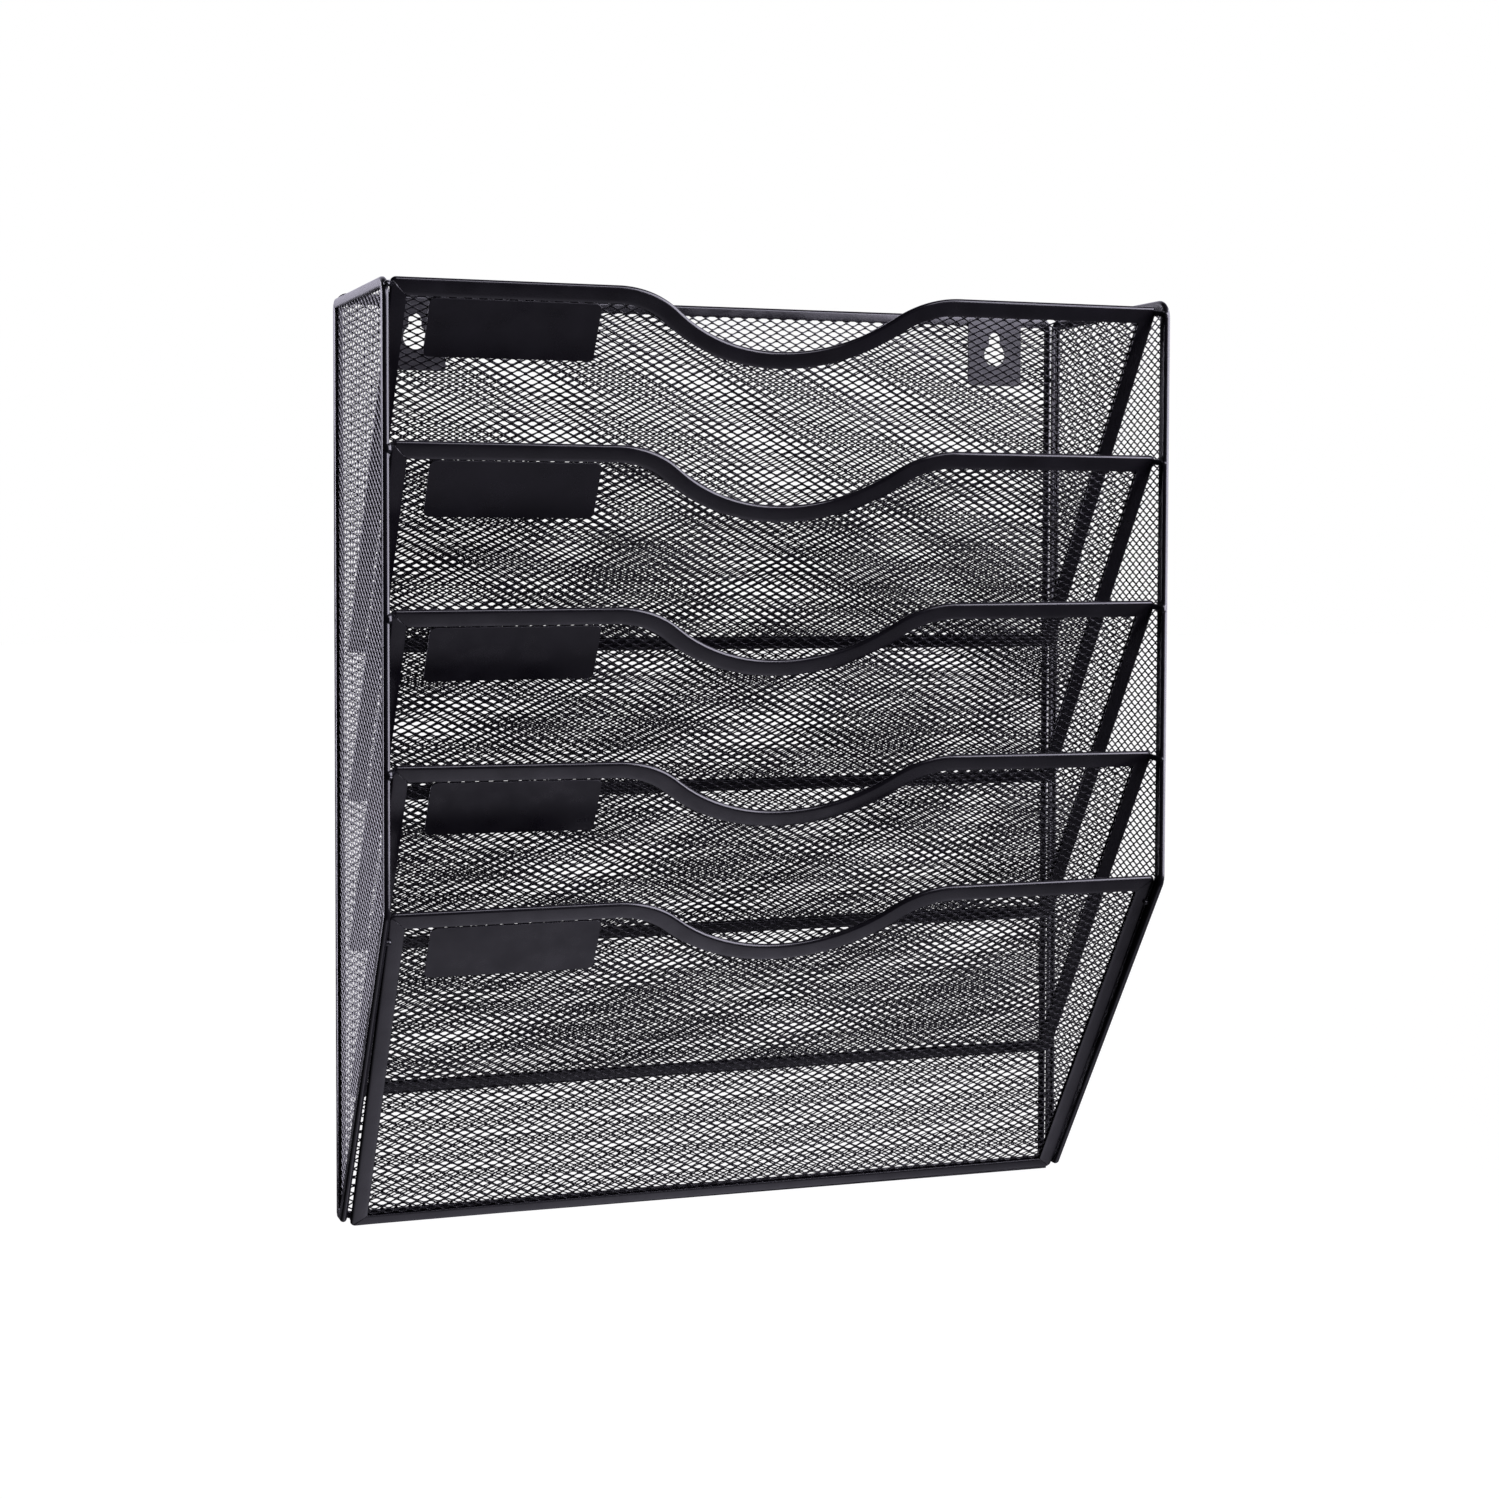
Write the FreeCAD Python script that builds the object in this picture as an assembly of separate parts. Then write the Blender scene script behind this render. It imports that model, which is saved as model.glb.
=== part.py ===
"""Wall-mounted mesh magazine file holder with five slanted document pockets.

Frame, in millimetres: X across the holder, +Y into the wall, +Z up. The wall face is the plane Y = 0, and
the origin lies on it, in the middle of the holder, level with the foot of the side panels.

Each flat panel is a mesh sheet gripped in a folded rim. The rim is modelled as channel rails, mitred where
they meet, and the mesh sheet fills their slots. The mesh sheets are plain closed sheets.
"""
import FreeCAD
import Part
import math
import os

Vector = FreeCAD.Vector

# Overall size
WIDTH = 331.8               # over the side panels
DEPTH = 113.0
BACK_TOP = 388.5
BACK_BOTTOM = -1.7

# Panel construction
MESH_THICKNESS = 1.0
RIM_THICKNESS = 1.8         # back panel
SIDE_THICKNESS = 2.7        # side panels
FRONT_THICKNESS = 2.2       # slanted front panels
FOLD = 0.6                  # steel left outside the mesh edge, at the fold of a rail

# Back panel
BACK_WIDTH = 328.6
BACK_RAIL_WIDTH = 4.5
BACK_UPRIGHT_WIDTH = 3.0
BACK_FOOT_WIDTH = 3.0
BACK_CORNER_RADIUS = 5.0

# Side panels
SIDE_TOPS = {"left": (385.6, 384.6), "right": (387.0, 387.0)}   # height at the rear and at the front
SIDE_RAIL_WIDTH = 5.0
SIDE_TOP_RAIL_WIDTH = 4.2
SIDE_STAND_OFF = 3.0        # from the wall to the rear edge of a side panel
SIDE_FOOT_DEPTH = 13.5
SIDE_BEND_HEIGHT = 142.5
SIDE_REAR_RADIUS = 5.0
SIDE_FRONT_RADIUS = 8.0
SIDE_BEND_RADIUS = 9.0
SIDE_FOOT_RADIUS = 2.5

# Front panels, from the top one down. They hang slightly out of level, with the slope of each top edge
# counted positive where it rises to the right.
PANEL_TOP_HEIGHTS = [383.6, 321.6, 259.1, 197.7, 143.1]
PANEL_SLOPES = [-0.002, -0.003, 0.010, -0.005, 0.009]
PANEL_HALF_WIDTHS = [161.9, 161.9, 161.9, 161.9, 163.0]
PANEL_FOOT_HALF_WIDTH = 161.6
PANEL_TOP_Y = -109.0
PANEL_RUN = 96.5            # from the top edge back to the bottom edge
PANEL_DROP = 145.0
PANEL_CORNER_RADIUS = 2.2
SIDE_BAND = 6.8
TOP_BAND = 7.4
BOTTOM_BAND = 5.6

# Finger notch in a front panel's top edge: two ramps that meet under a wide arc
NOTCH_HALF_WIDTH = 57.7
NOTCH_SLOPE = math.radians(40.0)
NOTCH_SHOULDER_RADIUS = 40.0
NOTCH_FLOOR_RADIUS = 70.0

# Label plate
LABEL_LEFT = -146.1
LABEL_TOP = 7.8             # down from the panel's top edge
LABEL_WIDTH = 68.2
LABEL_HEIGHT = 25.5
LABEL_THICKNESS = 0.8
LABEL_RADIUS = 2.5

# Pocket floor strip
FLOOR_THICKNESS = 1.0
FLOOR_HALF_WIDTH = 160.0

# Keyhole hanger plates
HANGER_PLACES = {"left": -131.1, "right": 135.5}
HANGER_WIDTH = 26.0
HANGER_TOP = 387.0
HANGER_BOTTOM = 357.0
HANGER_THICKNESS = 1.0
HANGER_RADIUS = 2.0
KEYHOLE_HEIGHT = 371.0
KEYHOLE_RADIUS = 5.1
KEYHOLE_SLOT_WIDTH = 5.6
KEYHOLE_SLOT_TOP = 381.0
MESH_CLEARANCE = 1.0        # the mesh stands this far back from a keyhole's edge

# Welds
STUB_RADIUS = 1.3
BLOB_RADIUS = 1.9
BACK_WELD_RADIUS = 0.8
BACK_WELD_HEIGHTS = [30.0, 140.0, 250.0, 360.0]
SLANT_WELD_DISTANCE = 13.5  # down the lowest front panel from its top edge


def plane(origin, across, up):
    """Placement whose local x and y run along across and up, with local z as the outward normal."""
    return FreeCAD.Placement(origin, FreeCAD.Rotation(across, up, across.cross(up), "XYZ"))


BACK_PLANE = plane(Vector(0, 0, 0), Vector(1, 0, 0), Vector(0, 0, 1))
SLANT = math.hypot(PANEL_RUN, PANEL_DROP)
SLANT_UP = Vector(0, -PANEL_RUN / SLANT, PANEL_DROP / SLANT)


def panel_plane(top_height):
    """Plane of a front panel's outer face, with its origin in the middle of the straight top edge."""
    return plane(Vector(0, PANEL_TOP_Y, top_height), Vector(1, 0, 0), SLANT_UP)


def side_plane(outer_x):
    """Plane of a side panel, with local x along +Y and local z along +X."""
    return plane(Vector(outer_x, 0, 0), Vector(0, 1, 0), Vector(0, 0, 1))


def inset(points, widths):
    """Move each edge of an anticlockwise polygon inwards by its own width."""
    lines = []
    for i, start in enumerate(points):
        end = points[(i + 1) % len(points)]
        along = (end - start).normalize()
        inward = Vector(-along.y, along.x, 0)
        lines.append((start + inward * widths[i], along))
    corners = []
    for i, (point, along) in enumerate(lines):
        before, before_along = lines[i - 1]
        gap = point - before
        cross = before_along.x * along.y - before_along.y * along.x
        reach = (gap.x * along.y - gap.y * along.x) / cross
        corners.append(before + before_along * reach)
    return corners


def turn_at(points, i):
    """Angle that an anticlockwise polygon turns by at a corner, negative where it is hollow."""
    before = points[i] - points[i - 1]
    after = points[(i + 1) % len(points)] - points[i]
    return math.atan2(before.x * after.y - before.y * after.x, before.dot(after))


def rounded_face(points, radii):
    """Flat face inside a polygon whose corners are rounded, with radius 0 for a sharp one."""
    stops = []
    for i, corner in enumerate(points):
        radius = radii[i]
        if radius <= 0:
            stops.append((corner, corner, corner))
            continue
        back = (points[i - 1] - corner).normalize()
        ahead = (points[(i + 1) % len(points)] - corner).normalize()
        half = abs(turn_at(points, i)) / 2
        reach = radius * math.tan(half)
        middle = (back + ahead).normalize() * (radius / math.cos(half) - radius)
        stops.append((corner + back * reach, corner + middle, corner + ahead * reach))
    edges = []
    for i, (first, middle, last) in enumerate(stops):
        if not first.isEqual(last, 1e-7):
            edges.append(Part.Arc(first, middle, last).toShape())
        following = stops[(i + 1) % len(stops)][0]
        if not last.isEqual(following, 1e-7):
            edges.append(Part.LineSegment(last, following).toShape())
    return Part.Face(Part.Wire(edges))


def slab(points, radii, bottom, thickness):
    """Rounded polygon with a thickness, standing on local z = bottom."""
    solid = rounded_face(points, radii).extrude(Vector(0, 0, thickness))
    solid.translate(Vector(0, 0, bottom))
    return solid


def parallel_radii(points, radii, distance):
    """Corner radii of the curve that runs inside a rounded polygon at a distance."""
    result = []
    for i, radius in enumerate(radii):
        grow = distance if turn_at(points, i) < 0 else -distance
        result.append(max(radius + grow, 0) if radius > 0 else 0)
    return result


def framed_panel(points, radii, widths, rails, thickness, bottom):
    """Mesh sheet and its rails, in the panel's own plane.

    rails maps a rail's name to the corners where it starts and ends and to its depth in rail widths, which is
    over 1 where the rail dips. Returns the mesh sheet and a dictionary of the rails.
    """
    inner = inset(points, widths)
    opening_radii = []
    for i in range(len(points)):
        runs_on = abs(widths[i] - widths[i - 1]) < 1e-9
        opening_radii.append(parallel_radii(points, radii, widths[i])[i] if runs_on else 0)
    ring = slab(points, radii, bottom, thickness).cut(slab(inner, opening_radii, bottom, thickness))

    mesh_bottom = bottom + (thickness - MESH_THICKNESS) / 2
    mesh_points = inset(points, [FOLD] * len(points))
    mesh = slab(mesh_points, parallel_radii(points, radii, FOLD), mesh_bottom, MESH_THICKNESS)

    solids = {}
    for name, (start, end, depth) in rails.items():
        corners = []
        for index, reaches in ((start, (-0.2, depth)), (end, (depth, -0.2))):
            step = inner[index] - points[index]
            corners += [points[index] + step * reach for reach in reaches]
        wedge = slab(corners, [0] * 4, bottom, thickness)
        solids[name] = ring.common(wedge).cut(mesh)
    return mesh, solids


def back_panel():
    """Rectangular back panel against the wall."""
    half = BACK_WIDTH / 2
    points = [
        Vector(-half, BACK_BOTTOM, 0),
        Vector(half, BACK_BOTTOM, 0),
        Vector(half, BACK_TOP, 0),
        Vector(-half, BACK_TOP, 0),
    ]
    widths = [BACK_FOOT_WIDTH, BACK_UPRIGHT_WIDTH, BACK_RAIL_WIDTH, BACK_UPRIGHT_WIDTH]
    reach = 1.1
    rails = {
        "bottom_rail": (0, 1, reach),
        "right_rail": (1, 2, reach),
        "top_rail": (2, 3, reach),
        "left_rail": (3, 0, reach),
    }
    return framed_panel(points, [BACK_CORNER_RADIUS] * 4, widths, rails, RIM_THICKNESS, 0)


def side_panel(rear_height, front_height):
    """Side panel: upright rear edge, almost level top, upright front and a slant down to a narrow foot."""
    rear = -SIDE_STAND_OFF
    points = [
        Vector(rear, 0, 0),
        Vector(rear, rear_height, 0),
        Vector(-DEPTH, front_height, 0),
        Vector(-DEPTH, SIDE_BEND_HEIGHT, 0),
        Vector(-SIDE_FOOT_DEPTH, 0, 0),
    ]
    radii = [SIDE_FOOT_RADIUS, SIDE_REAR_RADIUS, SIDE_FRONT_RADIUS, SIDE_BEND_RADIUS, SIDE_FOOT_RADIUS]
    widths = [SIDE_RAIL_WIDTH, SIDE_TOP_RAIL_WIDTH] + [SIDE_RAIL_WIDTH] * 3
    reach = 1.1
    rails = {
        "rear_rail": (0, 1, reach),
        "top_rail": (1, 2, reach),
        "front_rail": (2, 3, reach),
        "slant_rail": (3, 4, reach),
        "foot_rail": (4, 0, reach),
    }
    return framed_panel(points, radii, widths, rails, SIDE_THICKNESS, 0)


def front_panel(half, slope):
    """Front panel with the finger notch in its sloping top edge, lying behind its outer face."""
    foot = PANEL_FOOT_HALF_WIDTH
    notch = NOTCH_HALF_WIDTH
    points = [
        Vector(-foot, -SLANT - slope / 2 * foot, 0),
        Vector(foot, -SLANT + slope / 2 * foot, 0),
        Vector(half, slope * half, 0),
        Vector(notch, slope * notch, 0),
        Vector(0, -notch * math.tan(NOTCH_SLOPE), 0),
        Vector(-notch, -slope * notch, 0),
        Vector(-half, -slope * half, 0),
    ]
    corner = PANEL_CORNER_RADIUS
    shoulder = NOTCH_SHOULDER_RADIUS
    radii = [corner, corner, corner, shoulder, NOTCH_FLOOR_RADIUS, shoulder, corner]
    widths = [BOTTOM_BAND, SIDE_BAND, TOP_BAND, TOP_BAND, TOP_BAND, TOP_BAND, SIDE_BAND]
    rails = {
        "bottom_rail": (0, 1, 1.1),
        "right_rail": (1, 2, 1.1),
        "top_rail": (2, 6, 7.0),
        "left_rail": (6, 0, 1.1),
    }
    return framed_panel(points, radii, widths, rails, FRONT_THICKNESS, -FRONT_THICKNESS)


def label_plate(slope):
    """Plain plate on the outer side of the mesh, in the panel's upper left corner and parallel to its top."""
    right = LABEL_LEFT + LABEL_WIDTH
    low = -LABEL_TOP - LABEL_HEIGHT
    points = [
        Vector(LABEL_LEFT, low + slope * LABEL_LEFT, 0),
        Vector(right, low + slope * right, 0),
        Vector(right, -LABEL_TOP + slope * right, 0),
        Vector(LABEL_LEFT, -LABEL_TOP + slope * LABEL_LEFT, 0),
    ]
    mesh_face = -(FRONT_THICKNESS - MESH_THICKNESS) / 2
    return slab(points, [LABEL_RADIUS] * 4, mesh_face, LABEL_THICKNESS)


def keyhole(x, radius, slot_width, slot_top, thickness):
    """Round hole with a narrower slot above it, in the back panel's plane."""
    hole = Part.makeCylinder(radius, thickness, Vector(x, KEYHOLE_HEIGHT, 0))
    end_radius = slot_width / 2
    slot_height = slot_top - end_radius - KEYHOLE_HEIGHT
    slot = Part.makeBox(slot_width, slot_height, thickness, Vector(x - end_radius, KEYHOLE_HEIGHT, 0))
    end = Part.makeCylinder(end_radius, thickness, Vector(x, slot_top - end_radius, 0))
    return hole.fuse(slot).fuse(end)


def hanger_plate(x):
    """Keyhole plate in front of the back panel, welded to the top rail."""
    left = x - HANGER_WIDTH / 2
    right = x + HANGER_WIDTH / 2
    points = [
        Vector(left, HANGER_BOTTOM, 0),
        Vector(right, HANGER_BOTTOM, 0),
        Vector(right, HANGER_TOP, 0),
        Vector(left, HANGER_TOP, 0),
    ]
    plate = slab(points, [HANGER_RADIUS] * 4, RIM_THICKNESS, HANGER_THICKNESS)
    tall = RIM_THICKNESS + HANGER_THICKNESS
    return plate.cut(keyhole(x, KEYHOLE_RADIUS, KEYHOLE_SLOT_WIDTH, KEYHOLE_SLOT_TOP, tall))


def mesh_keyhole(x):
    """Hole that the back mesh leaves behind a keyhole."""
    radius = KEYHOLE_RADIUS + MESH_CLEARANCE
    slot_width = KEYHOLE_SLOT_WIDTH + 2 * MESH_CLEARANCE
    slot_top = KEYHOLE_SLOT_TOP + MESH_CLEARANCE
    return keyhole(x, radius, slot_width, slot_top, RIM_THICKNESS)


def floor_strip(bottom_height, neighbours):
    """Strip from a front panel's bottom rail back to the mesh of the back panel."""
    front = PANEL_TOP_Y + PANEL_RUN + FLOOR_THICKNESS / 2
    rear = -(RIM_THICKNESS + MESH_THICKNESS) / 2
    corner = Vector(-FLOOR_HALF_WIDTH, front, bottom_height)
    strip = Part.makeBox(2 * FLOOR_HALF_WIDTH, rear - front, FLOOR_THICKNESS, corner)
    return largest_solid(strip.cut(neighbours))


def largest_solid(shape):
    """The biggest solid of a shape that a cut may have divided."""
    return max(shape.Solids, key=lambda solid: solid.Volume)


def rod(start, end, radius):
    """Round-ended rod between two points."""
    axis = end - start
    body = Part.makeCylinder(radius, axis.Length, start, axis)
    return body.fuse(Part.makeSphere(radius, start)).fuse(Part.makeSphere(radius, end))


def top_corner(number, side):
    """Top corner of a front panel's outer face, before it is rounded off."""
    x = side * PANEL_HALF_WIDTHS[number - 1]
    return Vector(x, PANEL_TOP_Y, PANEL_TOP_HEIGHTS[number - 1]) + SLANT_UP * (PANEL_SLOPES[number - 1] * x)


def corner_stub(side, corner, neighbours):
    """Weld stub from a front panel's top corner forward to a blob on the side panel's front rail."""
    at_panel = corner + Vector(-0.4 * side, 1.4, -1.8)
    at_rail = Vector(side * (WIDTH / 2 - 2.0), -DEPTH + 1.1, corner.z - 2.8)
    blob = Part.makeSphere(BLOB_RADIUS, at_rail)
    return largest_solid(rod(at_panel, at_rail, STUB_RADIUS).fuse(blob).cut(neighbours))


def slant_weld(side, corner, neighbours):
    """Weld between the lowest front panel's side rail and the slanted rail beside it."""
    outward = Vector(1, 0, 0).cross(SLANT_UP)
    middle = corner - SLANT_UP * SLANT_WELD_DISTANCE + outward * 0.4
    reach = Vector(1.0, 0, 0)
    return largest_solid(rod(middle - reach, middle + reach, STUB_RADIUS).cut(neighbours))


def back_weld(side, height):
    """Weld between a side panel's rear edge and the back panel's rim."""
    gap = SIDE_STAND_OFF - RIM_THICKNESS
    centre = Vector(side * (BACK_WIDTH / 2 - BACK_WELD_RADIUS), -RIM_THICKNESS - gap, height)
    return Part.makeCylinder(BACK_WELD_RADIUS, gap, centre, Vector(0, 1, 0))


def side_welds(side, nodes):
    """All the welds that hold one side panel, as one set of small solids."""
    rim = "right" if side > 0 else "left"
    beside = [nodes[f"{rim}_side_{part}"] for part in ("top_rail", "front_rail", "slant_rail", "mesh")]
    lowest = len(PANEL_TOP_HEIGHTS)
    welds = []
    for number in range(1, lowest):
        rails = [nodes[f"pocket_{number}_top_rail"], nodes[f"pocket_{number}_{rim}_rail"]]
        welds.append(corner_stub(side, top_corner(number, side), Part.makeCompound(beside + rails)))
    rails = [nodes[f"pocket_{lowest}_{rim}_rail"]]
    welds.append(slant_weld(side, top_corner(lowest, side), Part.makeCompound(beside + rails)))
    welds += [back_weld(side, height) for height in BACK_WELD_HEIGHTS]
    return Part.makeCompound(welds)


def build():
    """Every node of the holder, by name."""
    nodes = {}

    mesh, rails = back_panel()
    for x in HANGER_PLACES.values():
        mesh = mesh.cut(mesh_keyhole(x))
    place_panel(nodes, "back", BACK_PLANE, mesh, rails)
    for place, x in HANGER_PLACES.items():
        nodes[f"hanger_plate_{place}"] = hanger_plate(x).transformed(BACK_PLANE.toMatrix())

    for side, outer_x in (("left", -WIDTH / 2), ("right", WIDTH / 2 - SIDE_THICKNESS)):
        mesh, rails = side_panel(*SIDE_TOPS[side])
        place_panel(nodes, f"{side}_side", side_plane(outer_x), mesh, rails)

    panels = zip(PANEL_TOP_HEIGHTS, PANEL_HALF_WIDTHS, PANEL_SLOPES)
    for number, (height, half, slope) in enumerate(panels, start=1):
        name = f"pocket_{number}"
        placed = panel_plane(height)
        mesh, rails = front_panel(half, slope)
        place_panel(nodes, name, placed, mesh, rails)
        nodes[f"{name}_label_plate"] = label_plate(slope).transformed(placed.toMatrix())
        neighbours = [nodes[f"{name}_{rail_name}"] for rail_name in rails] + [nodes["back_bottom_rail"]]
        nodes[f"{name}_floor"] = floor_strip(height - PANEL_DROP, Part.makeCompound(neighbours))

    nodes["left_side_welds"] = side_welds(-1, nodes)
    nodes["right_side_welds"] = side_welds(1, nodes)
    return nodes


def place_panel(nodes, name, placed, mesh, rails):
    """Add a panel's mesh and rails to the nodes, moved into place."""
    nodes[f"{name}_mesh"] = mesh.transformed(placed.toMatrix())
    for rail_name, rail in rails.items():
        nodes[f"{name}_{rail_name}"] = rail.transformed(placed.toMatrix())


os.makedirs("parts", exist_ok=True)
for node_name, shape in build().items():
    shape.exportStep(f"parts/{node_name}.step")
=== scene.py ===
"""Looks of the wall-mounted mesh file holder: expanded-metal mesh, folded rims, plates and weld beads.

Each flat panel is drawn in its own plane, in millimetres, with x across it, y up it and z along its
normal, and is then moved into the frame by that plane's matrix. The frame is in metres: X across the
holder, +Y into the wall and +Z up.
"""

import math
import random

import bpy
from mathutils import Matrix, Vector

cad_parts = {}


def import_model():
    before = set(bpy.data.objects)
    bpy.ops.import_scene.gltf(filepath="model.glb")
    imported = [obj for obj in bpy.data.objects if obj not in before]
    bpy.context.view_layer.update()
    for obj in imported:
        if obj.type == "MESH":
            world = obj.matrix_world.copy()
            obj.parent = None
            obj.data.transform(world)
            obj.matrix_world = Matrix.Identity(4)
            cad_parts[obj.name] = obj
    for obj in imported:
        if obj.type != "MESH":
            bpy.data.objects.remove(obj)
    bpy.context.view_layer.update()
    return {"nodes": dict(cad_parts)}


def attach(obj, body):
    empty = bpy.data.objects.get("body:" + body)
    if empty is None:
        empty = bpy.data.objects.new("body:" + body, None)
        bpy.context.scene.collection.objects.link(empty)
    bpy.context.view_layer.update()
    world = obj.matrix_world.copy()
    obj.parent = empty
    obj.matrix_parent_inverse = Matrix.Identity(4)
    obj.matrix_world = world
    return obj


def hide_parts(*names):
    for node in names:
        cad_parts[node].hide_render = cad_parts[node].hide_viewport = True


MM = 0.001

# Overall size
WIDTH = 331.8
DEPTH = 113.0
BACK_TOP = 388.5
BACK_BOTTOM = -1.7

# Folded rims
RIM_THICKNESS = 1.8         # back panel
SIDE_THICKNESS = 2.7        # side panels
FRONT_THICKNESS = 2.2       # slanted front panels
MESH_SLOT = 1.0             # gap between a rim's two flanges
SLOT_DEPTH = 2.0
LIP_BEVEL = 0.12
FOLD_REACH = 1.2            # how far the round of the fold reaches in from the edge
FOLD_STEPS = 12
CROWN = 0.14                # how far a flange falls away from its fold to its lip
CROWN_STEPS = 4
MITRE_WIDTH = 0.35          # groove on each side of a mitre
MITRE_DEPTH = 0.16
MITRE_STEPS = 4             # steps round half of a mitred corner
MITRE_RUN = 1.5             # straight run kept between a mitred corner and the rest of the rail
SHARP_ANGLE = math.radians(50)

# Back panel, with the widths of the bottom, right, top and left rails
BACK_WIDTH = 328.6
BACK_RAIL_WIDTHS = [3.0, 3.0, 4.5, 3.0]
BACK_CORNER_RADIUS = 5.0

# Side panels, with the height of each top edge at the rear and at the front, and the widths of the rear,
# top, front, slanted and foot rails
SIDE_TOPS = {"left": (385.6, 384.6), "right": (387.0, 387.0)}
SIDE_RAIL_WIDTHS = [5.0, 4.2, 5.0, 5.0, 5.0]
SIDE_STAND_OFF = 3.0
SIDE_FOOT_DEPTH = 13.5
SIDE_BEND_HEIGHT = 142.5
SIDE_RADII = [2.5, 5.0, 8.0, 9.0, 2.5]

# Front panels, from the top one down, with slopes counted positive where a top edge rises to the right
PANEL_TOP_HEIGHTS = [383.6, 321.6, 259.1, 197.7, 143.1]
PANEL_SLOPES = [-0.002, -0.003, 0.010, -0.005, 0.009]
PANEL_HALF_WIDTHS = [161.9, 161.9, 161.9, 161.9, 163.0]
PANEL_FOOT_HALF_WIDTH = 161.6
PANEL_TOP_Y = -109.0
PANEL_RUN = 96.5
PANEL_DROP = 145.0
PANEL_CORNER_RADIUS = 2.2
SIDE_BAND = 6.8
TOP_BAND = 7.4
BOTTOM_BAND = 5.6
SLANT = math.hypot(PANEL_RUN, PANEL_DROP)
SLANT_UP = Vector((0, -PANEL_RUN / SLANT, PANEL_DROP / SLANT))

# Finger notch
NOTCH_HALF_WIDTH = 57.7
NOTCH_SLOPE = math.radians(40.0)
NOTCH_SHOULDER_RADIUS = 40.0
NOTCH_FLOOR_RADIUS = 70.0
ARC_STEPS = 20

# Expanded mesh
LONG_WAY = 6.0              # from bond to bond along a row
SHORT_WAY = 3.5             # from bond to bond across the rows
BOND_LENGTH = 1.0
STRAND_WIDTH = 0.70
STRAND_THICKNESS = 0.2
BOND_KINK = 0.08            # how far the middle of a bond stands out from its upper and lower edges
SIDE_LEAN = {"left": 0.23, "right": 0.1}
BACK_LEAN = 0.1             # how far a bond leans out of the sheet, per millimetre of its height
FRONT_LEAN = 0.12
BOND_WANDER = 0.03
WANDER_SEED = 7
BACK_SHIFT = 1.0            # where the bond columns stand, measured from the middle of a panel
SIDE_SHIFT = 0.5
FRONT_SHIFT = 1.0
MESH_EDGE = 0.9             # the outermost bonds lie this far inside a panel's outline
MESH_EDGE_STEPS = 12
BACK_MESH_SPLIT = 194.0     # height where the back panel's mesh is parted into two pieces

# Label plates
LABEL_LEFT = -146.1
LABEL_TOP = 7.8             # down from the panel's top edge
LABEL_WIDTH = 68.2
LABEL_HEIGHT = 25.5
LABEL_THICKNESS = 0.8
LABEL_RADIUS = 2.5

# Keyhole hanger plates
HANGER_PLACES = {"left": -131.1, "right": 135.5}
HANGER_WIDTH = 26.0
HANGER_TOP = 387.0
HANGER_BOTTOM = 357.0
HANGER_THICKNESS = 1.0
HANGER_RADIUS = 2.0
KEYHOLE_HEIGHT = 371.0
KEYHOLE_RADIUS = 5.1
KEYHOLE_SLOT_WIDTH = 5.6
KEYHOLE_SLOT_TOP = 381.0
KEYHOLE_CLEARANCE = 0.9     # how much wider the mesh is cut away behind a keyhole
KEYHOLE_STEPS = 32
SLOT_STEPS = 12
PLATE_BEVEL = 0.12
PLATE_CORNER_STEPS = 8

# Finish and studio
BLACK = (0.004, 0.0035, 0.005)
COOL_WHITE = (0.97, 0.93, 1.12)
LIGHT_CENTRE = Vector((0, -0.05, 0.2))
LIGHT_DISTANCE = 1.5
FLOOR_SIZE = 60
FLOOR_HEIGHT = -0.8

# Welds, with the radius of each bead at its start and at its end
STUB_RADII = (1.25, 1.3)
SWOLLEN_RADII = (1.75, 1.7)
SLANT_WELD_RADII = (1.2, 1.2)
BACK_WELD_RADII = (0.75, 0.8)
BACK_WELD_HEIGHTS = [30.0, 140.0, 250.0, 360.0]
SLANT_WELD_DISTANCE = 13.5  # down the lowest front panel from its top edge
SWOLLEN_STUBS = {-1: [2, 3, 4], 1: [3]}     # front panels with a swollen stub, by side
BEAD_SIDES = 14
CAP_STEPS = 6               # steps along each rounded end of a bead
CAP_BLUNT = 0.3             # part of the first step that is cut off flat
BODY_STEPS = 4


# ---------------------------------------------------------------- planes and outlines

def plane(origin, across, up):
    """Matrix from a plane's own millimetres to the frame's metres."""
    turn = Matrix((across, up, across.cross(up))).transposed().to_4x4()
    return Matrix.Scale(MM, 4) @ Matrix.Translation(origin) @ turn


def panel_plane(top_height):
    """Plane of a front panel's outer face, with its origin in the middle of the straight top edge."""
    return plane(Vector((0, PANEL_TOP_Y, top_height)), Vector((1, 0, 0)), SLANT_UP)


def side_plane(outer_x):
    """Plane of a side panel, with x along +Y and z along +X."""
    return plane(Vector((outer_x, 0, 0)), Vector((0, 1, 0)), Vector((0, 0, 1)))


BACK_PLANE = plane(Vector((0, 0, 0)), Vector((1, 0, 0)), Vector((0, 0, 1)))


def inset(points, widths):
    """Move each edge of an anticlockwise polygon inwards by its own width."""
    lines = []
    for i, start in enumerate(points):
        along = (points[(i + 1) % len(points)] - start).normalized()
        lines.append((start + Vector((-along.y, along.x)) * widths[i], along))
    corners = []
    for i, (point, along) in enumerate(lines):
        before, before_along = lines[i - 1]
        reach = (point - before).cross(along) / before_along.cross(along)
        corners.append(before + before_along * reach)
    return corners


def turn_at(points, i):
    """Angle that a polygon turns by at a corner, to the left if positive."""
    before = points[i] - points[i - 1]
    after = points[(i + 1) % len(points)] - points[i]
    return math.atan2(before.cross(after), before.dot(after))


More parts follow.
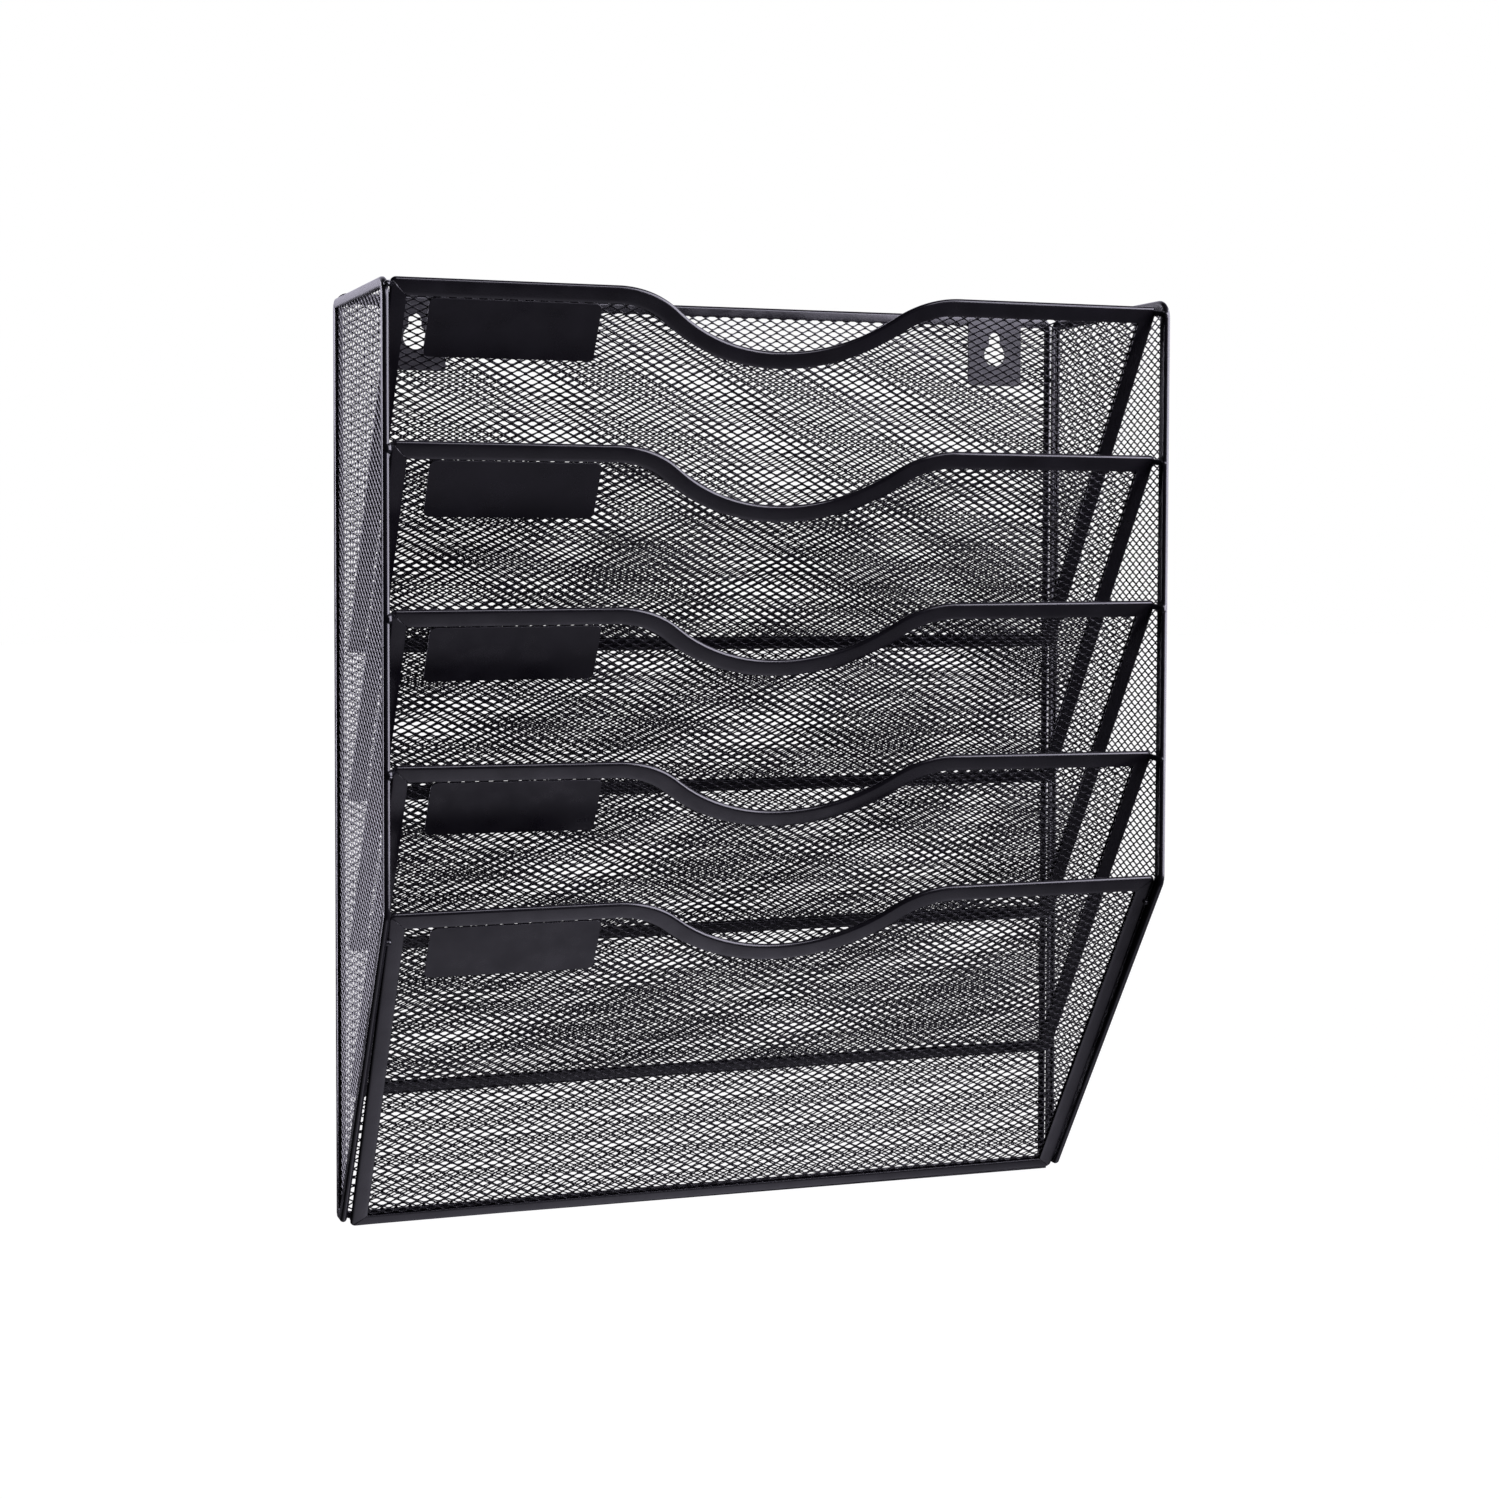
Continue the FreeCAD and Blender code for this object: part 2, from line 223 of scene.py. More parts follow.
def rounded_corner(points, radii, i, steps):
    """Points round one corner of a polygon, from the edge before it to the edge after it."""
    corner = points[i]
    if radii[i] <= 0:
        return [corner] * (steps + 1)
    back = (points[i - 1] - corner).normalized()
    ahead = (points[(i + 1) % len(points)] - corner).normalized()
    turn = turn_at(points, i)
    to_centre = (back + ahead).normalized() * (radii[i] / math.cos(turn / 2))
    spoke = back * (radii[i] * math.tan(abs(turn) / 2)) - to_centre
    return [corner + to_centre + Matrix.Rotation(turn * k / steps, 2) @ spoke for k in range(steps + 1)]


def rounded_outline(points, radii, steps):
    """Closed outline of a polygon with rounded corners."""
    outline = []
    for i, radius in enumerate(radii):
        outline += rounded_corner(points, radii, i, steps) if radius > 0 else [points[i]]
    return outline


def inner_radii(points, radii, widths):
    """Corner radii along a rim's inner edge, with 0 for a sharp corner."""
    result = []
    for i, radius in enumerate(radii):
        grow = widths[i] if turn_at(points, i) < 0 else -widths[i]
        same = abs(widths[i] - widths[i - 1]) < 1e-9
        result.append(max(radius + grow, 0) if same and radius > 0 else 0)
    return result


# ---------------------------------------------------------------- folded rails

def rail_end(points, radii, widths, i, leaving):
    """Outer and inner points of a rail from the mitre at corner i to where the rail runs straight."""
    inner = inset(points, widths)
    half = MITRE_STEPS
    arc = rounded_corner(points, radii, i, 2 * half)
    inner_arc = rounded_corner(inner, inner_radii(points, radii, widths), i, 2 * half)
    if leaving:
        arc, inner_arc = arc[half:], inner_arc[half:]
        along = (points[(i + 1) % len(points)] - points[i]).normalized()
        inward = Vector((-along.y, along.x)) * widths[i]
    else:
        arc, inner_arc = arc[half::-1], inner_arc[half::-1]
        along = (points[i - 1] - points[i]).normalized()
        inward = Vector((along.y, -along.x)) * widths[i - 1]
    reach = max((end - points[i]).dot(along) for end in (arc[-1], inner_arc[-1])) + MITRE_RUN
    outer = arc + [points[i] + along * reach]
    foot = outer[-1] + inward
    if inner_arc[0] != inner_arc[-1]:
        return list(zip(outer, inner_arc + [foot]))
    distances = [0.0]
    for before, after in zip(outer, outer[1:]):
        distances.append(distances[-1] + (after - before).length)
    return [
        (point, inner_arc[0].lerp(foot, distance / distances[-1]))
        for point, distance in zip(outer, distances)
    ]


def with_groove(stations):
    """Stations with their groove depth, which is more than 0 only at the two mitres."""
    outer, inner = stations[0]
    next_outer, next_inner = stations[1]
    share = MITRE_WIDTH / max((next_outer - outer).length, (next_inner - inner).length)
    shoulder = (outer.lerp(next_outer, share), inner.lerp(next_inner, share))
    return [(outer, inner, MITRE_DEPTH), (*shoulder, 0.0)] + [(*pair, 0.0) for pair in stations[1:]]


def rail_stations(points, radii, widths, start, end):
    """Outer point, inner point and groove depth at each step along a rail, from mitre to mitre."""
    inner = inset(points, widths)
    radii_inside = inner_radii(points, radii, widths)
    first = with_groove(rail_end(points, radii, widths, start, True))
    last = with_groove(rail_end(points, radii, widths, end, False))
    middle = []
    for i in range(start + 1, end if end > start else len(points)):
        outside = rounded_corner(points, radii, i, ARC_STEPS)
        inside = rounded_corner(inner, radii_inside, i, ARC_STEPS)
        middle += [(o, n, 0.0) for o, n in zip(outside, inside)]
    return first + middle + last[::-1]


def rail_section(outer, inner, groove, bottom, thickness):
    """Closed loop of points across a folded rail, a flat U that opens towards the mesh."""
    half = thickness / 2
    slot = MESH_SLOT / 2
    width = (inner - outer).length
    flange = []
    for step in range(CROWN_STEPS + 1):
        share = step / CROWN_STEPS
        across = FOLD_REACH + (width - LIP_BEVEL - FOLD_REACH) * share
        flange.append((across, half - CROWN * share ** 2))
    flange.append((width, half - CROWN - LIP_BEVEL))
    fold = []
    for step in range(1, FOLD_STEPS):
        angle = math.pi * (0.5 + step / FOLD_STEPS)
        fold.append((FOLD_REACH * (1 + math.cos(angle)), half * math.sin(angle)))
    loop = [(width, slot)] + flange[::-1] + fold + [(across, -z) for across, z in flange]
    loop += [(width, -slot), (width - SLOT_DEPTH, -slot), (width - SLOT_DEPTH, slot)]
    inward = (inner - outer) / width
    flatten = 1 - groove / half
    middle = bottom + half
    return [
        (outer + inward * across).to_3d() + Vector((0, 0, middle + z * flatten))
        for across, z in loop
    ]


def rail_mesh(stations, bottom, thickness):
    """Vertices and faces of one folded rail."""
    loops = [rail_section(*station, bottom, thickness) for station in stations]
    size = len(loops[0])
    verts = [point for loop in loops for point in loop]
    faces = [list(range(size))[::-1], list(range(len(verts) - size, len(verts)))]
    for ring in range(len(loops) - 1):
        for k in range(size):
            after = (k + 1) % size
            low, high = ring * size, (ring + 1) * size
            faces.append([low + k, low + after, high + after, high + k])
    return verts, faces


# ---------------------------------------------------------------- expanded mesh

def inside(outline, x, y):
    """True if a point lies within a closed outline."""
    result = False
    for i, point in enumerate(outline):
        before = outline[i - 1]
        if (point.y > y) != (before.y > y):
            crossing = point.x + (y - point.y) * (before.x - point.x) / (before.y - point.y)
            if x < crossing:
                result = not result
    return result


def bond_corners(x, y, middle, lean):
    """The 12 corners of a bond: left and right, then bottom, middle and top, then back and front."""
    corners = []
    for side in (-0.5, 0.5):
        for level, kink in ((-1, -0.5), (0, 0.5), (1, -0.5)):
            up = level * STRAND_WIDTH
            for face in (-0.5, 0.5):
                z = middle + lean * up + kink * BOND_KINK + face * STRAND_THICKNESS
                corners.append(Vector((x + side * BOND_LENGTH, y + up, z)))
    return corners


def expanded_mesh(outline, holes, middle, lean, shift):
    """Vertices and faces of a sheet of expanded metal that fills an outline, apart from holes.

    The bonds are in rows, every other row shifted by half the long way, and each bond sends two strands
    up to the next row. A bond is two strands wide, kinked along its middle and leaning, so that the
    strands twist.
    """
    wander = random.Random(WANDER_SEED)
    half_long, half_short = LONG_WAY / 2, SHORT_WAY / 2
    low_x, high_x = min(p.x for p in outline), max(p.x for p in outline)
    low_y, high_y = min(p.y for p in outline), max(p.y for p in outline)
    rows = range(math.ceil(low_y / half_short), math.floor(high_y / half_short) + 1)
    columns = range(math.ceil((low_x - shift) / half_long), math.floor((high_x - shift) / half_long) + 1)
    bonds, verts, faces = {}, [], []
    for row in rows:
        for column in columns:
            x, y = shift + column * half_long, row * half_short
            if (row + column) % 2 or not inside(outline, x, y) or any(inside(h, x, y) for h in holes):
                continue
            x += wander.uniform(-BOND_WANDER, BOND_WANDER)
            y += wander.uniform(-BOND_WANDER, BOND_WANDER)
            bonds[row, column] = len(verts)
            verts += bond_corners(x, y, middle, lean)
    for (row, column), b in bonds.items():
        left, right = b, b + 6
        for low in (0, 2):
            faces.append([left + low + 1, right + low + 1, right + low + 3, left + low + 3])
            faces.append([left + low, left + low + 2, right + low + 2, right + low])
        faces.append([left, right, right + 1, left + 1])
        faces.append([left + 4, left + 5, right + 5, right + 4])
        for side, port, far_port in ((1, right, 0), (-1, left, 6)):
            other = bonds.get((row + 1, column + side))
            if other is None:
                continue
            near = [port + 2, port + 3, port + 5, port + 4]
            far = [other + far_port + k for k in (0, 1, 3, 2)]
            for k in range(4):
                after = (k + 1) % 4
                quad = [near[k], near[after], far[after], far[k]]
                faces.append(quad if side < 0 else quad[::-1])
    return verts, faces


# ---------------------------------------------------------------- plates and welds

def spline_from(curve, outline):
    """Add a closed straight-sided loop to a flat curve."""
    spline = curve.splines.new("POLY")
    spline.points.add(len(outline) - 1)
    for point, place in zip(spline.points, outline):
        point.co = (place.x, place.y, 0, 1)
    spline.use_cyclic_u = True


def plate_mesh(name, outlines, bottom, thickness):
    """Flat plate with bevelled edges, cut out along every outline after the first."""
    curve = bpy.data.curves.new(name, "CURVE")
    curve.dimensions = "2D"
    curve.fill_mode = "BOTH"
    curve.extrude = thickness / 2 - PLATE_BEVEL
    curve.bevel_depth = PLATE_BEVEL
    curve.bevel_resolution = 2
    curve.offset = -PLATE_BEVEL
    for outline in outlines:
        spline_from(curve, outline)
    holder = bpy.data.objects.new(name, curve)
    bpy.context.scene.collection.objects.link(holder)
    bpy.context.view_layer.update()
    graph = bpy.context.evaluated_depsgraph_get()
    mesh = bpy.data.meshes.new_from_object(holder.evaluated_get(graph))
    bpy.data.objects.remove(holder)
    mesh.transform(Matrix.Translation((0, 0, bottom + thickness / 2)))
    return mesh


def rectangle(left, bottom, right, top):
    """Corners of an upright rectangle, anticlockwise."""
    return [Vector((left, bottom)), Vector((right, bottom)), Vector((right, top)), Vector((left, top))]


def keyhole_outline(x, grow):
    """Round hole with a narrower slot above it, enlarged by grow on every side."""
    radius = KEYHOLE_RADIUS + grow
    end_radius = KEYHOLE_SLOT_WIDTH / 2 + grow
    end_height = KEYHOLE_SLOT_TOP + grow - end_radius
    opening = math.asin(end_radius / radius)
    outline = []
    for k in range(KEYHOLE_STEPS + 1):
        angle = math.pi / 2 + opening + (2 * math.pi - 2 * opening) * k / KEYHOLE_STEPS
        outline.append(Vector((x + radius * math.cos(angle), KEYHOLE_HEIGHT + radius * math.sin(angle))))
    for k in range(SLOT_STEPS + 1):
        angle = math.pi * k / SLOT_STEPS
        across, up = end_radius * math.cos(angle), end_radius * math.sin(angle)
        outline.append(Vector((x + across, end_height + up)))
    return outline


def bead(path, radii, rough, seed):
    """Vertices and faces of a lumpy round bead that follows a path, with a radius at each point."""
    around = BEAD_SIDES
    lumps = random.Random(seed)
    verts, faces = [], []
    direction = (path[-1] - path[0]).normalized()
    side = direction.orthogonal().normalized()
    over = direction.cross(side)
    for point, radius in zip(path, radii):
        for k in range(around):
            angle = 2 * math.pi * k / around
            reach = radius * (1 + lumps.uniform(-rough, rough))
            verts.append(point + (side * math.cos(angle) + over * math.sin(angle)) * reach)
    for ring in range(len(path) - 1):
        for k in range(around):
            after = (k + 1) % around
            low, high = ring * around, (ring + 1) * around
            faces.append([low + k, low + after, high + after, high + k])
    faces.append(list(range(around))[::-1])
    faces.append(list(range(len(verts) - around, len(verts))))
    return verts, faces


def bulb(start, end, start_radius, end_radius, rough, seed):
    """Bead from start to end whose two ends are rounded off."""
    axis = end - start
    along = axis.normalized()
    path, radii = [], []
    for k in range(CAP_STEPS):
        angle = math.pi / 2 * (k + CAP_BLUNT) / CAP_STEPS
        path.append(start - along * start_radius * math.cos(angle))
        radii.append(start_radius * math.sin(angle))
    for k in range(BODY_STEPS + 1):
        path.append(start + axis * k / BODY_STEPS)
        radii.append(start_radius + (end_radius - start_radius) * (k / BODY_STEPS) ** 2)
    for k in range(CAP_STEPS):
        angle = math.pi / 2 * (CAP_STEPS - CAP_BLUNT - k) / CAP_STEPS
        path.append(end + along * end_radius * math.cos(angle))
        radii.append(end_radius * math.sin(angle))
    return bead(path, radii, rough, seed)


# ---------------------------------------------------------------- materials

def coated_steel(name, colour, roughness, grain):
    """Black powder coat with fine orange peel, faint broad waves, uneven sheen and sparse pale dust."""
    material = bpy.data.materials.new(name)
    material.use_nodes = True
    nodes, links = material.node_tree.nodes, material.node_tree.links
    shader = nodes["Principled BSDF"]
    place = nodes.new("ShaderNodeTexCoord")

    def noise(scale, detail):
        texture = nodes.new("ShaderNodeTexNoise")
        texture.inputs["Scale"].default_value = scale
        texture.inputs["Detail"].default_value = detail
        links.new(place.outputs["Object"], texture.inputs["Vector"])
        return texture.outputs["Fac"]

    def ramp(source, low, high, low_colour, high_colour):
        node = nodes.new("ShaderNodeValToRGB")
        node.color_ramp.elements[0].position = low
        node.color_ramp.elements[1].position = high
        node.color_ramp.elements[0].color = low_colour
        node.color_ramp.elements[1].color = high_colour
        links.new(source, node.inputs["Fac"])
        return node.outputs["Color"]

    def grey(value):
        return (value, value, value, 1)

    def shade(factor):
        return (colour[0] * factor, colour[1] * factor, colour[2] * factor, 1)

    cloudy = ramp(noise(60, 4), 0.3, 0.7, shade(0.75), shade(1.3))
    dust = ramp(noise(1400, 2), 0.70, 0.78, grey(0), grey(1))
    mixed = nodes.new("ShaderNodeMix")
    mixed.data_type = "RGBA"
    links.new(dust, mixed.inputs["Factor"])
    links.new(cloudy, mixed.inputs["A"])
    mixed.inputs["B"].default_value = shade(3.0)
    links.new(mixed.outputs["Result"], shader.inputs["Base Color"])

    uneven = ramp(noise(110, 5), 0.3, 0.7, grey(roughness - 0.06), grey(roughness + 0.07))
    links.new(uneven, shader.inputs["Roughness"])

    peel = nodes.new("ShaderNodeBump")
    peel.inputs["Strength"].default_value = 0.35
    peel.inputs["Distance"].default_value = grain * MM
    links.new(noise(1100, 3), peel.inputs["Height"])
    waves = nodes.new("ShaderNodeBump")
    waves.inputs["Strength"].default_value = 0.3
    waves.inputs["Distance"].default_value = 0.4 * MM
    links.new(noise(45, 1), waves.inputs["Height"])
    links.new(waves.outputs["Normal"], peel.inputs["Normal"])
    links.new(peel.outputs["Normal"], shader.inputs["Normal"])
    return material


# ---------------------------------------------------------------- pieces

def finish_mesh(mesh, sharp_angle):
    """Smooth shading, with a sharp edge wherever two faces meet at more than an angle."""
    mesh.validate()
    mesh.update()
    mesh.shade_smooth()
    mesh.set_sharp_from_angle(angle=sharp_angle)


def add_piece(name, mesh, matrix, material, node_names):
    """Put a mesh in the frame as a piece that stands for some CAD nodes."""
    mesh.transform(matrix)
    mesh.materials.clear()
    mesh.materials.append(material)
    piece = bpy.data.objects.new(name, mesh)
    bpy.context.scene.collection.objects.link(piece)
    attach(piece, "root")
    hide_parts(*node_names)
    return piece


def add_solid(name, shape, matrix, material, node_names, sharp_angle=SHARP_ANGLE):
    """Make a piece from vertices and faces."""
    mesh = bpy.data.meshes.new(name)
    mesh.from_pydata(shape[0], [], shape[1])
    finish_mesh(mesh, sharp_angle)
    return add_piece(name, mesh, matrix, material, node_names)


def add_rim(prefix, outline, rails, bottom, thickness, matrix, material):
    """All the rails of one panel, one piece for each."""
    points, radii, widths = outline
    for rail, (start, end) in rails.items():
        stations = rail_stations(points, radii, widths, start, end)
        name = f"{prefix}_{rail}_rail"
        shape = rail_mesh(stations, bottom, thickness)
        piece = add_solid(name + "_folded", shape, matrix, material, [name])
        weighted = piece.modifiers.new("even_normals", "WEIGHTED_NORMAL")
        weighted.keep_sharp = True


def add_mesh_sheet(name, shape, matrix, material, cad_node):
    """One sheet of expanded metal, or a part of one."""
    return add_solid(name, shape, matrix, material, [cad_node], math.pi)


def back_outline():
    """Corners, radii and rail widths of the back panel."""
    points = rectangle(-BACK_WIDTH / 2, BACK_BOTTOM, BACK_WIDTH / 2, BACK_TOP)
    return points, [BACK_CORNER_RADIUS] * 4, BACK_RAIL_WIDTHS


def side_outline(rear_height, front_height):
    """Corners, radii and rail widths of a side panel."""
    points = [
        Vector((-SIDE_STAND_OFF, 0)),
        Vector((-SIDE_STAND_OFF, rear_height)),
        Vector((-DEPTH, front_height)),
        Vector((-DEPTH, SIDE_BEND_HEIGHT)),
        Vector((-SIDE_FOOT_DEPTH, 0)),
    ]
    return points, SIDE_RADII, SIDE_RAIL_WIDTHS


def front_outline(half, slope):
    """Corners, radii and rail widths of a front panel, with the finger notch in its sloping top edge."""
    foot = PANEL_FOOT_HALF_WIDTH
    notch = NOTCH_HALF_WIDTH
    points = [
        Vector((-foot, -SLANT - slope / 2 * foot)),
        Vector((foot, -SLANT + slope / 2 * foot)),
        Vector((half, slope * half)),
        Vector((notch, slope * notch)),
        Vector((0, -notch * math.tan(NOTCH_SLOPE))),
        Vector((-notch, -slope * notch)),
        Vector((-half, -slope * half)),
    ]
    corner, shoulder = PANEL_CORNER_RADIUS, NOTCH_SHOULDER_RADIUS
    radii = [corner, corner, corner, shoulder, NOTCH_FLOOR_RADIUS, shoulder, corner]
    widths = [BOTTOM_BAND, SIDE_BAND, TOP_BAND, TOP_BAND, TOP_BAND, TOP_BAND, SIDE_BAND]
    return points, radii, widths


def mesh_outline(outline):
    """Where the bonds of a panel's mesh may lie."""
    points, radii, _ = outline
    shrunk = inset(points, [MESH_EDGE] * len(points))
    smaller = inner_radii(points, radii, [MESH_EDGE] * len(points))
    return rounded_outline(shrunk, smaller, MESH_EDGE_STEPS)


def build_back(materials):
    """Back panel, its mesh in two halves, and the hanger plates."""
    outline = back_outline()
    rails = {"bottom": (0, 1), "right": (1, 2), "top": (2, 3), "left": (3, 0)}
    add_rim("back", outline, rails, 0, RIM_THICKNESS, BACK_PLANE, materials["rim"])
    holes = [keyhole_outline(x, KEYHOLE_CLEARANCE) for x in HANGER_PLACES.values()]
    verts, faces = expanded_mesh(mesh_outline(outline), holes, RIM_THICKNESS / 2, BACK_LEAN, BACK_SHIFT)
    for half, above in (("lower", False), ("upper", True)):
        kept = [face for face in faces if (verts[face[0]].y >= BACK_MESH_SPLIT) == above]
        used = sorted({v for face in kept for v in face})
        index = {v: k for k, v in enumerate(used)}
        shape = [verts[v].copy() for v in used], [[index[v] for v in face] for face in kept]
        add_mesh_sheet(f"back_mesh_{half}", shape, BACK_PLANE, materials["mesh"], "back_mesh")
    for side, x in HANGER_PLACES.items():
        outlines = [
            rounded_outline(
                rectangle(x - HANGER_WIDTH / 2, HANGER_BOTTOM, x + HANGER_WIDTH / 2, HANGER_TOP),
                [HANGER_RADIUS] * 4, PLATE_CORNER_STEPS,
            ),
            keyhole_outline(x, 0),
        ]
        mesh = plate_mesh("hanger", outlines, RIM_THICKNESS, HANGER_THICKNESS)
        finish_mesh(mesh, SHARP_ANGLE)
        name = f"hanger_plate_{side}"
        add_piece(name + "_pressed", mesh, BACK_PLANE, materials["hanger_plate"], [name])


def build_sides(materials):
    """The two side panels."""
    rails = {"rear": (0, 1), "top": (1, 2), "front": (2, 3), "slant": (3, 4), "foot": (4, 0)}
    for side, outer_x in (("left", -WIDTH / 2), ("right", WIDTH / 2 - SIDE_THICKNESS)):
        outline = side_outline(*SIDE_TOPS[side])
        matrix = side_plane(outer_x)
        prefix = f"{side}_side"
        add_rim(prefix, outline, rails, 0, SIDE_THICKNESS, matrix, materials["rim"])
        sheet = mesh_outline(outline)
        shape = expanded_mesh(sheet, [], SIDE_THICKNESS / 2, SIDE_LEAN[side], SIDE_SHIFT)
        add_mesh_sheet(f"{prefix}_expanded_mesh", shape, matrix, materials["mesh"], f"{prefix}_mesh")


def build_fronts(materials):
    """The five front panels with their label plates."""
    rails = {"bottom": (0, 1), "right": (1, 2), "top": (2, 6), "left": (6, 0)}
    middle = -FRONT_THICKNESS / 2
    right = LABEL_LEFT + LABEL_WIDTH
    low = -LABEL_TOP - LABEL_HEIGHT
    panels = zip(PANEL_TOP_HEIGHTS, PANEL_HALF_WIDTHS, PANEL_SLOPES)
    for number, (height, half, slope) in enumerate(panels, start=1):
        prefix = f"pocket_{number}"
        matrix = panel_plane(height)
        outline = front_outline(half, slope)
        level = rectangle(LABEL_LEFT, low, right, -LABEL_TOP)
        sloped = [Vector((p.x, p.y + slope * p.x)) for p in level]
        label = rounded_outline(sloped, [LABEL_RADIUS] * 4, PLATE_CORNER_STEPS)
        add_rim(prefix, outline, rails, -FRONT_THICKNESS, FRONT_THICKNESS, matrix, materials["rim"])
        shape = expanded_mesh(mesh_outline(outline), [], middle, FRONT_LEAN, FRONT_SHIFT)
        add_mesh_sheet(f"{prefix}_expanded_mesh", shape, matrix, materials["mesh"], f"{prefix}_mesh")
        mesh = plate_mesh("label", [label], middle + MESH_SLOT / 2, LABEL_THICKNESS)
        finish_mesh(mesh, SHARP_ANGLE)
        name = f"{prefix}_label_plate"
        add_piece(name + "_pressed", mesh, matrix, materials["label_plate"], [name])


def top_corner(number, side):
    """Top corner of a front panel's outer face, before it is rounded off."""
    x = side * PANEL_HALF_WIDTHS[number - 1]
    middle = Vector((x, PANEL_TOP_Y, PANEL_TOP_HEIGHTS[number - 1]))
    return middle + SLANT_UP * (PANEL_SLOPES[number - 1] * x)


def side_beads(side):
    """Vertices and faces of all the weld beads on one side."""
    beads = []
    lowest = len(PANEL_TOP_HEIGHTS)
    for number in range(1, lowest):
        corner = top_corner(number, side)
        at_panel = corner + Vector((-0.4 * side, 1.4, -1.8))
        at_rail = Vector((side * (WIDTH / 2 - 2.0), -DEPTH + 1.2, corner.z - 2.5))
        beads.append(bulb(at_panel, at_rail, *STUB_RADII, 0.05, number))
        if number in SWOLLEN_STUBS[side]:
            drop = Vector((0, 0, 1.0))
            top, foot = at_rail + drop * 0.4, at_rail - drop * 0.6
            beads.append(bulb(top, foot, *SWOLLEN_RADII, 0.04, number + 10))
    outward = Vector((1, 0, 0)).cross(SLANT_UP)
    middle = top_corner(lowest, side) - SLANT_UP * SLANT_WELD_DISTANCE + outward * 0.3
    reach = Vector((1.0, 0, 0))
    beads.append(bulb(middle - reach, middle + reach, *SLANT_WELD_RADII, 0.06, 20))
    for height in BACK_WELD_HEIGHTS:
        start = Vector((side * (BACK_WIDTH / 2 - 0.8), -SIDE_STAND_OFF - 0.2, height))
        end = Vector((start.x, -RIM_THICKNESS, height))
        beads.append(bulb(start, end, *BACK_WELD_RADII, 0.05, int(height)))
    verts, faces = [], []
    for bead_verts, bead_faces in beads:
        faces += [[len(verts) + v for v in face] for face in bead_faces]
        verts += bead_verts
    return verts, faces


def build_welds(materials):
    """Weld beads, one piece for each side."""
    for label, side in (("left", -1), ("right", 1)):
        name = f"{label}_side_weld_beads"
        matrix = Matrix.Scale(MM, 4)
        add_solid(name, side_beads(side), matrix, materials["weld"], [f"{label}_side_welds"])


def paint_floors(nodes, material):
    """The floor strips keep their CAD shape and get the coated finish."""
    for number in range(1, len(PANEL_TOP_HEIGHTS) + 1):
        strip = nodes[f"pocket_{number}_floor"]
        for slot in strip.material_slots:
            slot.material = material


# ---------------------------------------------------------------- studio

def add_camera():
    """Camera a little to the left of the holder, at two thirds of its height."""
    data = bpy.data.cameras.new("camera")
    data.lens = 61.07
    data.sensor_width = 36.0
    data.shift_x = -0.0011
    data.shift_y = -0.0558
    camera = bpy.data.objects.new("camera", data)
    bpy.context.scene.collection.objects.link(camera)
    camera.location = (-0.3467, -1.0651, 0.2795)
    camera.rotation_euler = (math.radians(90 - 2.48), math.radians(-0.17), math.radians(-18.98))
    bpy.context.scene.camera = camera


def add_softbox(name, bearing, elevation, size, radiance):
    """Rectangular softbox facing the holder, with its bearing taken from the front towards the right."""
    data = bpy.data.lights.new(name, "AREA")
    data.shape = "RECTANGLE"
    data.size, data.size_y = size
    data.color = COOL_WHITE
    data.energy = radiance * math.pi * size[0] * size[1]
    light = bpy.data.objects.new(name, data)
    bpy.context.scene.collection.objects.link(light)
    bearing, elevation = math.radians(bearing), math.radians(elevation)
    flat = math.cos(elevation)
    outward = Vector((math.sin(bearing) * flat, -math.cos(bearing) * flat, math.sin(elevation)))
    light.location = LIGHT_CENTRE + outward * LIGHT_DISTANCE
    light.rotation_euler = (-outward).to_track_quat("-Z", "Y").to_euler()
    light.visible_camera = False


